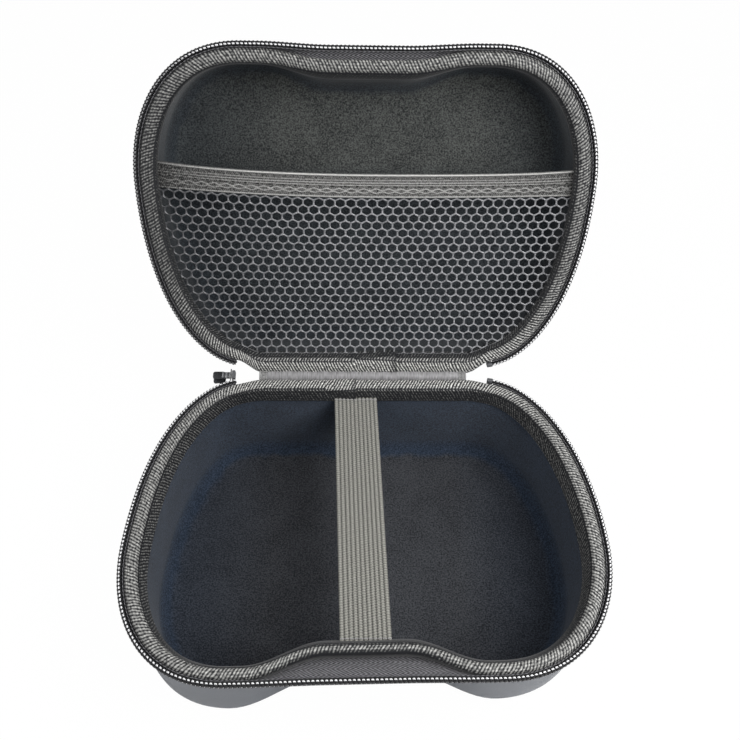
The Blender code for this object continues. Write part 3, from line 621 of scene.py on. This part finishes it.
# zinc, die-cast and lacquered: dark grey with a fine orange peel
lacquerZinc = makePlain("zincDieCastLacquered", {
    "roughness": 0.36, "pattern": ("TexNoise", {"Scale": 1 / (0.5 * mm), "Detail": 3.0}),
    "tones": ((0, "#3c3d3f"), (1, "#5a5b5e")), "relief": (0.15, 0.05)}, Metallic=0.85)
# nylon stop, fused: matt dark grey with flow marks
fusedNylon = makePlain("nylonStopFused", {
    "roughness": 0.5, "pattern": ("TexNoise", {"Scale": 1 / (1.2 * mm), "Detail": 3.0}),
    "tones": ((0, "#3e3f41"), (1, "#5c5d60")), "relief": (0.3, 0.1)}, IOR=1.53)
print("materials made")


# Moulded shells and fleece linings

shellFacts = {"around": 200, "cornerSteps": 9, "floorRing": 2.0}


def sweep(half, profile, places):
    return [[spotOn(half, place, inset, depth) for inset, depth in profile] for place in places]


def sweepTray(name, half, profile, tag=None):
    rows = sweep(half, profile, stationsAround(shellFacts["around"]))
    piece = layStrip(name, rows, loopAlong=True, half=half, caps=True, tag=tag)
    # a narrow ring inside each flat floor keeps its shading flat
    editOf(piece, "FACE")
    bpy.ops.object.mode_set(mode="OBJECT")
    for polygon in piece.data.polygons:
        polygon.select = len(polygon.vertices) > 20
    bpy.ops.object.mode_set(mode="EDIT")
    bpy.ops.mesh.inset(thickness=shellFacts["floorRing"] * mm, depth=0)
    bpy.ops.object.mode_set(mode="OBJECT")
    return piece


def makeShell(half):
    facts = halves[half]
    outer = bowlSide(rim["inset"], rim["drop"], facts["depth"], facts["corner"], shellFacts["cornerSteps"],
                     facts["outerDraft"])
    return sweepTray(f"{half}ShellSkin", half, outer[::-1] + innerFace(half, 0.0, rim["drop"]))


def makeLining(half):
    facts, top = halves[half], rim["legFoot"] + rim["gap"]
    profile = innerFace(half, rim["gap"], top)[::-1] + innerFace(half, rim["gap"] + rim["lining"], top)
    turn = facts["depth"] - facts["floor"] - facts["cavity"]
    onFloor = [clamp((depth - turn - 6.0) / (facts["cavity"] - 7.0)) for inset, depth in profile]
    return sweepTray(f"{half}Fleece", half, profile, ("floorShare", [onFloor]))


for half in halves:
    finishPiece(makeShell(half), mouldedSkin, half, "moulded_skin", f"{half}_shell")
    finishPiece(makeLining(half), fleecePile[half], half, "fleece_lining", f"{half}_lining")
print("shells and linings made")


# Binding tape: a round crown over the rim, a seam groove, and a leg down the inner wall

bindingFacts = {"around": 240, "tape": 0.7, "lip": 2.4, "hingeLip": {"base": 1.9, "lid": 0.4},
                "outerFoot": 4.9, "bayFoot": {"base": 7.2, "lid": 4.9},
                "crown": {"base": (1.0, 0.9, -0.4), "lid": (0.4, 1.7, 0.6)},
                "legFoot": {"base": (8.0, 9.4), "lid": (7.4, 7.4)}}


def atHinge(point):
    return fade(point.x, plan["reachFlat"], plan["reachEnd"]) if point.y > 0 else 0.0


def inBay(point):
    return fade(point.x, plan["bayFlat"], plan["bayReach"]) if point.y < 0 else 0.0


def lipAt(half, point):
    return between(bindingFacts["lip"], bindingFacts["hingeLip"][half], atHinge(point))


def outerFootAt(half, point):
    return between(bindingFacts["outerFoot"], bindingFacts["bayFoot"][half], inBay(point))


def bindingProfile(half, station, proud=0.0):
    # (inset, depth): outer leg, round crown, sunk seam, inner leg, and back along the shell
    point, outward = station
    b = bindingFacts
    thick, gap, side = b["tape"], rim["gap"], outward.x ** 2
    back, flank, front = b["crown"][half]
    extra = between(back if point.y > 0 else front, flank, side)
    lip = lipAt(half, point) - proud
    crown = slopeInset(half, rim["mateGap"]) + gap + thick + extra + proud
    legFoot = between(*b["legFoot"][half], side)
    foot = slopeInset(half, legFoot) + gap + rim["lining"] + 0.35 + 0.5 * side * (half == "base") + proud
    outerFoot = outerFootAt(half, point)
    dome = [(between(lip, crown, share), 0.2 - min(proud, 0.15) + 1.7 * abs(2 * share - 1) ** 3)
            for share in (0.0, 0.04, 0.1, 0.18, 0.3, 0.42, 0.55, 0.68, 0.8, 0.88, 0.94, 0.98, 1.0)]
    leg = [(between(crown - 0.3, foot, share) + 0.25 * sin(pi * share), between(2.5, legFoot - 0.5, share))
           for share in (0.08, 0.3, 0.6, 0.85, 1.0)]
    return [(lip + 0.15, outerFoot), (lip + 0.02, 0.5 * (outerFoot + 1.9)), *dome, (crown - 0.3, 2.15), *leg,
            (foot - 0.2, legFoot - 0.15), (foot - 0.55, legFoot),
            (foot - thick - 0.5, legFoot - 0.3), (slopeInset(half, 1.0) + gap, 1.0), (rim["inset"] - gap, 1.0),
            (rim["inset"] - gap, outerFoot)]


# how pale the tape is drawn at each place of the profile, at the hinge and the sides, and in the front bay: painted
# light on the crown, painted shade on the legs and flanks
crownLightTones = [0.0, 0.1, 0.3, 0.5, 0.75, *[1.0] * 6, 0.9, 0.7, 0.5, 0.3, 0.15, *[0.12] * 5, *[0.1] * 6]
bayLightTones = {"base": [*[0.0] * 5, 0.1, 0.45, 0.9, *[1.0] * 5, 0.9, 0.7, 0.4, *[0.15] * 5, *[0.1] * 6],
            "lid": crownLightTones}
# how much of that painted light each side of a half has: hinge, front, left, right; the lid's front and sides are
# painted in shade
sideShade = {"base": (1.0, 1.0, 1.0, 1.0), "lid": (1.0, 0.8, 0.5, 0.65)}


def crownLightTonesAt(half, station):
    point, outward = station
    side, bay = outward.x ** 2, inBay(point)
    line = [between(a, b, bay) for a, b in zip(crownLightTones, bayLightTones[half])]
    hinge, front, left, right = sideShade[half]
    share = between(hinge if point.y > 0 else front, left if outward.x < 0 else right, side)
    return [share * (between(t, 0.42, side) if 14 <= k <= 20 and t < 0.42 else t) for k, t in enumerate(line)]


def makeBinding(half):
    places = stationsAround(bindingFacts["around"])
    rows = [sweep(half, bindingProfile(half, s), [s])[0] for s in places]
    return layStrip(f"{half}BindingTape", rows, loopAlong=True, loopAcross=True, half=half, reference=7,
                    tag=("crownLitShare", [crownLightTonesAt(half, s) for s in places]))


lapFacts = {"base": {"start": 4.0, "end": 18.0, "proud": 0.8}, "lid": {"start": -14.0, "end": 6.0, "proud": 0.9}}


def makeLap(half):
    # the tape's cut end stands proud at the hinge side, and runs out into the tape
    facts = lapFacts[half]
    rows, lines = [], []
    for s in stations(facts["start"], facts["end"], 7):
        outside = bindingProfile(half, s, facts["proud"] * (1 - len(rows) / 6) - 0.05)[1:22]
        inside = bindingProfile(half, s, -0.25)[1:22]
        tones = crownLightTonesAt(half, s)
        # painted shade: the first row, at the lap's cut end, is drawn darker
        lines.append([t * (1.0 if lines else 0.3) for t in tones[1:22] + tones[21:0:-1]])
        rows += sweep(half, outside + inside[::-1], [s])
    return layStrip(f"{half}BindingLap", rows, loopAcross=True, half=half, caps=True, reference=7,
                    tag=("crownLitShare", lines))


for half in halves:
    finishPiece(makeBinding(half), bindingTwill, half, "binding_tape", f"{half}_binding")
    finishPiece(makeLap(half), bindingTwill, half, "binding_tape")
print("binding tapes made")


# Zip: woven tape, nylon coil of many turns, stops

zipFacts = {"tapeTop": 2.6, "tape": 0.5, "upstand": 2.15, "upstandDrop": 1.0, "bed": 3.3,
            "stations": 180, "pitch": 1.55, "thread": 0.48, "coilHeight": 3.0, "coilWidth": 1.95,
            "turnSteps": 18, "coreWide": 0.84, "coreTall": 1.1,
            "headSpot": 84, "headPower": 7, "lowSpot": 218, "lowPower": 12}


def zipStations(count):
    return stations(plan["zipEnd"], planTotal - plan["zipEnd"], count)


def makeZipTape(half):
    z = zipFacts
    rows = []
    for s in zipStations(z["stations"]):
        foot, lip = outerFootAt(half, s[0]) - 0.7, lipAt(half, s[0]) + 0.15
        bed, edge = z["bed"], z["upstand"]
        e = zipSpot(half, s, edge + 0.25, z["tapeTop"])
        f, g = (spotOn(half, s, lip, depth, None, 0.0) for depth in (foot, foot + z["tape"]))
        h = zipSpot(half, s, edge + 0.1, bed + z["tape"])
        flange = [zipSpot(half, s, *spot) for spot in (
            (0.35, bed), (edge - 0.2, bed), (edge - 0.12, z["upstandDrop"]), (edge + 0.12, z["upstandDrop"]),
            (edge + 0.16, z["tapeTop"] - 0.25))]
        rows.append([*flange, e, e.lerp(f, 0.25), e.lerp(f, 0.5), e.lerp(f, 0.75), f, g, g.lerp(h, 0.5), h,
                     zipSpot(half, s, 0.35, bed + z["tape"] * 0.6)])
    return layStrip(f"{half}ZipTape", rows, loopAcross=True, half=half, caps=True, reference=5)


def makeCore(half):
    # filler cord inside the coil
    z = zipFacts
    middle = rim["mateGap"] + 0.5 * z["coilHeight"]
    rows = [[zipSpot(half, s, 0.5 * z["coilWidth"] + z["coreWide"] * cos(0.25 * pi * k),
                     middle + z["coreTall"] * sin(0.25 * pi * k)) for k in range(8)] for s in zipStations(260)]
    return layStrip(f"{half}CoilCore", rows, loopAcross=True, half=half, caps=True)


def drawLine(points):
    # a path through points in millimetres
    bpy.ops.object.select_all(action="DESELECT")
    bpy.ops.curve.primitive_nurbs_path_add()
    line = bpy.context.object
    line.data.splines.clear()
    line.data.dimensions = "3D"
    spline = line.data.splines.new("POLY")
    spline.points.add(len(points) - 1)
    for spot, point in zip(spline.points, points):
        spot.co = (*(point * mm), 1)
    return line


def makeCoil(half):
    # one turn of thread, copied along the zip line by an array on a rail
    z = zipFacts
    tall, wide = 0.5 * z["coilHeight"] - z["thread"], 0.5 * z["coilWidth"] - z["thread"]
    steps = z["turnSteps"]
    turn = drawLine([Vector((z["pitch"] * i / steps, wide * cos(2 * pi * i / steps), tall * sin(2 * pi * i / steps)))
                     for i in range(steps + 1)])
    turn.data.bevel_depth = z["thread"] * mm
    turn.data.bevel_resolution = 1
    turn.data.use_fill_caps = False
    only(turn)
    bpy.ops.object.convert(target="MESH")
    turn = bpy.context.object
    turn.name = turn.data.name = f"{half}Coil"
    heads, lows = (turn.data.attributes.new(n, "FLOAT", "POINT") for n in ("headGlint", "lowGlint"))
    for vertex in turn.data.vertices:
        # painted highlights: pale at the mating face, and lower down on the outer side
        angle = atan2(vertex.co.z / tall, vertex.co.y / wide) * -halves[half]["side"]
        for values, spot in ((heads, "head"), (lows, "low")):
            paintedLightShare = max(0.0, cos(angle - radians(z[f"{spot}Spot"])))
            values.data[vertex.index].value = paintedLightShare ** z[f"{spot}Power"]
    rail = drawLine([zipSpot(half, s, 0.5 * z["coilWidth"] - 0.1, rim["mateGap"] + 0.5 * z["coilHeight"])
                     for s in zipStations(480)])
    rail.data.twist_mode = "Z_UP"
    repeat(turn, "turns", (z["pitch"] * mm, 0, 0), fit_type="FIT_CURVE", curve=rail, use_merge_vertices=True,
           merge_threshold=0.00002)
    follow = turn.modifiers.new("alongRail", "CURVE")
    follow.object = rail
    follow.deform_axis = "POS_X"
    applyAll(turn)
    bpy.data.objects.remove(rail, do_unlink=True)
    cleanUp(turn, merge=0.00001, angle=60, caps=True)
    heads, lows = (turn.data.attributes[n].data for n in ("headGlint", "lowGlint"))
    for vertex in turn.data.vertices:
        # the lower painted glints show where the zip runs along the front; the lid's heads are painted duller on its
        # left as shade
        ahead = fade(vertex.co.x / mm, 60, 80) if vertex.co.y < 0 else 0.0
        wearAndShade = 1.0 if half == "base" or vertex.co.x > 0 else 0.6 + 0.4 * ahead
        heads[vertex.index].value = max(heads[vertex.index].value * wearAndShade, lows[vertex.index].value * ahead)
    if half == "lid":
        turn.data.transform(Matrix.Scale(mm, 4) @ openTurn @ Matrix.Scale(1 / mm, 4))
    return turn


for half in halves:
    finishPiece(makeZipTape(half), zipHerringbone, half, "zip_tape", f"{half}_zip_tape")
    finishPiece(makeCoil(half), coilNylon, half, "coil_nylon", f"{half}_zip_teeth")
    finishPiece(makeCore(half), coreCord, half, "coil_nylon")
print("zip tapes and coils made")


# Pocket in the lid: elastic and net

pocketFacts = {"mouth": -16.9, "bowLeft": 3.7, "bowRight": 1.4,
               "elasticWidth": 9.6, "elasticDepth": 4.6, "elasticThick": 1.2, "elasticSteps": 66, "elasticAlong": 260,
               "netDepth": 5.4, "belly": 1.6, "columnPitch": 4.33, "hole": 1.92, "holeCorner": 2.12,
               "netColumns": 42, "netRows": 22, "yarnRise": 0.14, "yarnDip": 0.08, "yarnThick": 0.3}


def insideEdge(half):
    return slopeInset(half, rim["legFoot"]) + 1.3


lidOpening = [spotOn("lid", s, insideEdge("lid"), rim["drop"]) for s in stationsAround(240)]


def openingHalfWidth(y):
    widths = [0.0]
    for a, b in zip(lidOpening, lidOpening[1:] + lidOpening[:1]):
        if (a.y - y) * (b.y - y) <= 0 and a.y != b.y:
            widths.append(between(a.x, b.x, (y - a.y) / (b.y - a.y)))
    return max(widths)


mouthHalf = min(openingHalfWidth(pocketFacts["mouth"] - pocketFacts["bowLeft"]),
                openingHalfWidth(pocketFacts["mouth"] - pocketFacts["bowRight"] + pocketFacts["elasticWidth"]))


def mouthLine(x):
    return pocketFacts["mouth"] - pocketFacts["bowLeft" if x < 0 else "bowRight"] * (x / mouthHalf) ** 2


# ridges across the tape: place from the mouth, height, half width, paleness, wave; the first is the folded edge;
# paleness is painted highlight on the ridges
elasticRidges = ((0.4, 0.45, 0.45, 1.0, 0.0), (2.5, 0.14, 0.3, 0.42, 0.0), (3.5, 0.18, 0.28, 0.56, 0.0),
                 (4.5, 0.16, 0.28, 0.5, 0.0), (6.2, 0.2, 0.32, 0.62, 0.35), (7.3, 0.2, 0.32, 0.56, -0.3),
                 (9.1, 0.26, 0.42, 0.62, 0.0))


def makePocketElastic():
    p = pocketFacts
    steps, along = p["elasticSteps"], p["elasticAlong"]
    rows, paleness = [], []
    for i in range(along + 1):
        share = 2 * i / along - 1
        spread = 1 + 0.1 * abs(share) ** 6  # the tape fans out where the binding takes it in
        wave = sin(2 * pi * share * mouthHalf / 5.0)
        places, pales = [], []
        for j in range(steps + 1):
            v = p["elasticWidth"] * j / steps
            shares = [max(0.0, 1 - ((v - r[0] - r[4] * wave) / r[2]) ** 2) for r in elasticRidges]
            high = sum(r[1] * q for r, q in zip(elasticRidges, shares))
            pales.append(max(0.14, *[r[3] * q for r, q in zip(elasticRidges, shares)]))
            places.append((v, 0.25 - high))
        row = []
        for v, deeper in (*places, (p["elasticWidth"], p["elasticThick"]), (0.0, p["elasticThick"])):
            y = mouthLine(share * mouthHalf) + v * spread - p["elasticWidth"] * (spread - 1)
            row.append(Vector((share * openingHalfWidth(y), y, heightAt("lid", p["elasticDepth"] + deeper))))
        rows.append(row)
        least = 0.25 if share < 0 else 0.6  # least = 0.25 if share < 0 else 0.6 # painted shade: darker towards its ends, most at the left
        shade = least + (1 - least) * (1 - abs(share) ** 3)
        paleness.append([shade * q for q in pales + [0.2, 0.2]])
    return layStrip("pocketElasticTape", rows, loopAcross=True, half="lid", caps=True, reference=10, angle=60,
                    tag=("ridgeLitShare", paleness))


finishPiece(makePocketElastic(), pocketElastic, "lid", "elastic_tape", "pocket_elastic")
print("pocket elastic made")


def makeNet():
    p = pocketFacts
    foot = plan["back"] - insideEdge("lid") + halves["lid"]["reach"]
    bpy.ops.object.select_all(action="DESELECT")
    # one mesh: a ring of yarn between a round hole and a hexagon, in flat cloth millimetres
    bpy.ops.mesh.primitive_circle_add(vertices=12, radius=p["hole"], fill_type="NOTHING")
    net = bpy.context.object
    net.name = net.data.name = "pocketNetKnit"
    bpy.ops.object.mode_set(mode="EDIT")
    bpy.ops.mesh.select_mode(type="EDGE")
    onAll(bpy.ops.mesh.extrude_region_move)
    bpy.ops.transform.resize(value=(1.2, 1.2, 1))
    bpy.ops.object.mode_set(mode="OBJECT")
    halfPitch = 0.5 * p["columnPitch"]
    for vertex in net.data.vertices:
        angle = atan2(vertex.co.y, vertex.co.x)
        nearest = round(angle / (pi / 3)) * (pi / 3)
        if vertex.co.xy.length > 1.1 * p["hole"]:
            reach, rise = halfPitch / cos(angle - nearest), p["yarnRise"]
        else:
            reach, rise = p["holeCorner" if abs(angle - nearest) > 0.2 else "hole"], -p["yarnDip"]
        vertex.co = (reach * cos(angle), reach * sin(angle), rise)
    rowPitch = halfPitch * 3 / 3 ** 0.5
    columns, rows = p["netColumns"], p["netRows"] // 2
    bpy.ops.object.mode_set(mode="EDIT")
    onAll(bpy.ops.mesh.duplicate_move, TRANSFORM_OT_translate={"value": (halfPitch, rowPitch, 0)})
    bpy.ops.object.mode_set(mode="OBJECT")
    repeat(net, "columns", (p["columnPitch"], 0, 0), count=columns)
    repeat(net, "rows", (0, 2 * rowPitch, 0), count=rows)
    applyAll(net)
    for vertex in net.data.vertices:
        x = vertex.co.x - halfPitch * columns
        v = clamp((vertex.co.y - 0.2) / (rowPitch * 2 * rows - 2.4))
        v = 0.95 * v + 0.05 * v * v
        y = between(mouthLine(clamp(x, -mouthHalf, mouthHalf)) + p["elasticWidth"] - 0.5, foot, v)
        half = openingHalfWidth(min(y, foot - 0.15)) + 0.15
        x = clamp(x, -half, half)
        share = x / max(half, 1.0)
        loose = sin(pi * v) * (1 - share * share)
        slack = (0.45 * sin(0.55 * y + 0.05 * x) + 0.3 * sin(0.21 * x - 0.3 * y)) * (0.4 + 0.6 * v)
        depth = p["netDepth"] + (p["belly"] + slack) * loose - vertex.co.z
        vertex.co = opened(Vector((x, y, heightAt("lid", depth)))) * mm
    editOf(net)
    onAll(bpy.ops.mesh.remove_doubles, threshold=0.00008)
    onAll(bpy.ops.mesh.dissolve_degenerate, threshold=0.00005)
    bpy.ops.object.mode_set(mode="OBJECT")
    solid = net.modifiers.new("yarn", "SOLIDIFY")
    solid.thickness = p["yarnThick"] * mm
    solid.offset = 0.0
    applyAll(net)
    cleanUp(net, merge=0.00001, angle=50)
    return net


net = makeNet()
finishPiece(net, netYarn, "lid", "net_thread", "pocket_net")


# Holding strap over the base

strapFacts = {"width": 18.6, "thick": 1.3, "depth": 5.6, "ribs": 11, "perRib": 8, "rib": 0.5,
              "xBack": -4.1, "xFront": -1.0}


def makeStrap():
    s, edge = strapFacts, insideEdge("base")
    front = -plan["front"] + edge + bayAt("base", s["depth"] + s["thick"])
    back = plan["back"] - edge + halves["base"]["reach"]
    waves = [abs(sin(pi * j / s["perRib"])) for j in range(s["ribs"] * s["perRib"] + 1)]
    places = [(j / (len(waves) - 1) - 0.5, s["rib"] * (1 - wave)) for j, wave in enumerate(waves)]
    places += [(0.5, s["thick"]), (-0.5, s["thick"])]
    rows = []
    for i in range(61):
        middle, y = between(s["xBack"], s["xFront"], i / 60), between(back, front, i / 60)
        rows.append([Vector((middle + s["width"] * across, y, heightAt("base", s["depth"] + deeper)))
                     for across, deeper in places])
    # painted highlight on the ribs' tops and painted shade in their grooves
    ridges = [0.12 + 0.6 * wave ** 0.7 for wave in waves]
    return layStrip("holdingStrapWebbing", rows, loopAcross=True, caps=True, reference=20, angle=60,
                    tag=("ridgeLitShare", [ridges + [0.3, 0.3]]))


def layThread(name, points, across, radius):
    # a short four-sided thread along its points
    rows = [[point + (across * cos(0.5 * pi * q) + Vector((0, 0, 1)) * sin(0.5 * pi * q)) * radius for q in range(4)]
            for point in points]
    return layStrip(name, rows, loopAcross=True, caps=True)


def makeHemStitches():
    # the seam that takes the strap's ends into the binding: one stitch for each rib
    s, edge = strapFacts, insideEdge("base")
    stitches = []
    for middle, y in ((s["xBack"], plan["back"] - edge + halves["base"]["reach"] - 1.5),
                      (s["xFront"], -plan["front"] + edge + bayAt("base", s["depth"]) + 1.3)):
        for k in range(s["ribs"]):
            x = middle + s["width"] * ((k + 0.5) / s["ribs"] - 0.5)
            points = [Vector((x - 0.7 + 1.4 * i / 6, y, heightAt("base", s["depth"] - 0.1 - 0.3 * sin(pi * i / 6))))
                      for i in range(7)]
            stitches.append(layThread("stitch", points, Vector((0, 1, 0)), 0.26))
    return joinAll(stitches, "strapHemStitches")


finishPiece(makeStrap(), strapElastic, "base", "strap_elastic", "holding_strap")
finishPiece(makeHemStitches(), sewingThread, "base", "strap_elastic")
print("strap made")


# Satin ribbon that joins the halves

ribbonFacts = {"left": -46.5, "right": 44.8, "thick": 0.6, "middle": 2.9, "steps": 14, "across": 120, "roll": 3.3,
               "tackThreads": 5, "tackPitch": 0.62}


def ribbonPath():
    # from the base's rim over a soft roll to the lid's rim, as (0, y, z) with the lid open
    r, ends = ribbonFacts, []
    for half in halves:
        y, z = plan["back"] + halves[half]["reach"], heightAt(half, r["middle"])
        ends += [Vector((0, y - rim["inset"] + rim["gap"], z)),
                 Vector((0, y - lipAt(half, Vector((0, 1, 0))) + 0.2, z))]
    start, leave, end, arrive = *ends[:2], *map(opened, ends[2:])
    fold = interpolate_bezier(leave, leave + Vector((0, 0.1, 1)) * r["roll"],
                              arrive + Vector((0, -0.35, 0.95)) * r["roll"], arrive, r["steps"])
    return [start, start.lerp(leave, 0.5), *fold, arrive.lerp(end, 0.5), end], leave, arrive


def offsetPath(path, distance):
    moved = []
    for i, point in enumerate(path):
        along = (path[min(i + 1, len(path) - 1)] - path[max(i - 1, 0)]).normalized()
        moved.append(point + Vector((0, -along.z, along.y)) * distance)
    return moved


def makeRibbon():
    r = ribbonFacts
    path, leave, arrive = ribbonPath()
    loop = offsetPath(path, 0.5 * r["thick"]) + offsetPath(path, -0.5 * r["thick"])[::-1]
    rows = []
    for i in range(r["across"] + 1):
        x = between(r["left"], r["right"], i / r["across"])
        ripple = 0.12 * sin(0.9 * x) + 0.1 * sin(0.37 * x + 1.0)
        rows.append([point + Vector((x, 0, ripple if 2 < k % len(path) < len(path) - 3 else 0.0))
                     for k, point in enumerate(loop)])
    return layStrip("hingeSatinRibbon", rows, loopAcross=True, caps=True), leave * mm, arrive * mm


def makeTacks():
    # bar tacks at the ribbon's two ends: short threads laid side by side over the roll
    r = ribbonFacts
    path = offsetPath(ribbonPath()[0], 0.5 * r["thick"] + 0.08)[2:-2]
    tacks = []
    for side, edge in ((1, r["left"]), (-1, r["right"])):
        for k in range(r["tackThreads"]):
            x = edge + side * (0.5 + r["tackPitch"] * k)
            points = [point + Vector((x, 0, 0.16 * abs(sin(1.1 * i + 1.7 * k)))) for i, point in enumerate(path)]
            tacks.append(layThread("tack", points, Vector((1, 0, 0)), 0.2))
    return joinAll(tacks, "hingeRibbonTacks")


ribbon, ribbonStart, ribbonEnd = makeRibbon()
finishPiece(ribbon, satinRibbon, None, "satin_tape", "hinge_tape")
tacks = makeTacks()
finishPiece(tacks, sewingThread, None, "satin_tape")
for piece in (ribbon, tacks):
    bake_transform(piece)
print("hinge ribbon made")


# Stops, slider and pull: the solids' own forms with rounded edges

# finish, body, slot, rounding in mm, and the share of the solid's size that it's drawn at
smallParts = {"base_top_stop": (fusedNylon, "base", "stop_nylon", 0.35, 1.0),
              "lid_top_stop": (fusedNylon, "lid", "stop_nylon", 0.35, 1.0),
              "zip_bottom_stop": (fusedNylon, "base", "stop_nylon", 0.35, 1.0),
              "zip_closed_end": (meshedNylon, "base", "coil_nylon", 0.3, 0.6),
              "zip_slider": (lacquerZinc, "base", "slider_metal", 0.4, 0.64),
              "slider_bail": (lacquerZinc, "base", "slider_metal", 0.3, 0.64),
              "zip_pull": (lacquerZinc, "pull", "slider_metal", 0.4, 0.64)}


def roundedCopy(node, width, share):
    words = node.split("_")
    copy = bpy.data.objects.new(words[0] + "".join(word.capitalize() for word in words[1:]) + "Rounded",
                                frame["nodes"][node].data.copy())
    bpy.context.scene.collection.objects.link(copy)
    editOf(copy)
    onAll(bpy.ops.mesh.remove_doubles, threshold=0.00002)
    onAll(bpy.ops.mesh.dissolve_limited, angle_limit=radians(3))
    bpy.ops.object.mode_set(mode="OBJECT")
    if share < 1:
        # shrunk about the pull's pivot, and the meshed length about its end beside the case
        root = next(Vector(joint["pos_m"]) for joint in frame["joints"] if joint["name"] == "pull_swing")
        if node == "zip_closed_end":
            corners = [Vector(corner) for corner in copy.bound_box]
            root = sum(corners, Vector()) / 8
            root.x = max(corner.x for corner in corners)
        toRoot = Matrix.Translation(root)
        copy.data.transform(toRoot @ Matrix.Scale(share, 4) @ toRoot.inverted())
    bevel = copy.modifiers.new("roundEdges", "BEVEL")
    bevel.width = width * mm
    bevel.segments = 3
    bevel.limit_method = "ANGLE"
    bevel.angle_limit = radians(40)
    applyAll(copy)
    only(copy)
    bpy.ops.object.shade_smooth_by_angle(angle=radians(38))
    return copy


for node, (finish, body, slot, width, share) in smallParts.items():
    finishPiece(roundedCopy(node, width, share), finish, body, slot, node)
print("small parts rounded and finished")
